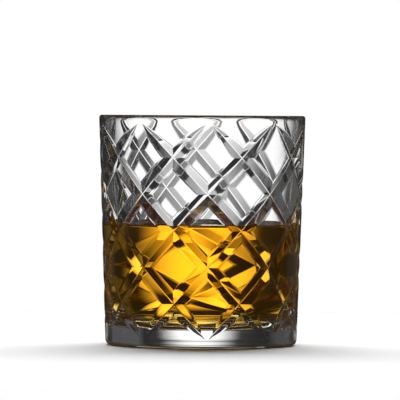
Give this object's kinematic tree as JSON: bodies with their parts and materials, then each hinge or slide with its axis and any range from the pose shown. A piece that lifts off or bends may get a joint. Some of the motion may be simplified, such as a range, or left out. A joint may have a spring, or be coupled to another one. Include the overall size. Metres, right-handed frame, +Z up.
{
  "type": "whiskey tumbler",
  "caption": "Straight-sided pressed glass tumbler with a lattice of V-cut diamond grooves and a thick clear base, part filled with whiskey.",
  "frame": {"origin": "centre of the foot, on the surface that the glass stands on", "axes": "+Z up along the glass's axis; a column of groove crossings faces -Y"},
  "size_m": [0.082, 0.0818, 0.0912],
  "materials": {
    "clear_glass": "clear, fire polished",
    "whiskey": "clear amber liquid"
  },
  "bodies": {
    "root": {"tumbler": "clear_glass", "whiskey": "whiskey"}
  },
  "joints": []
}
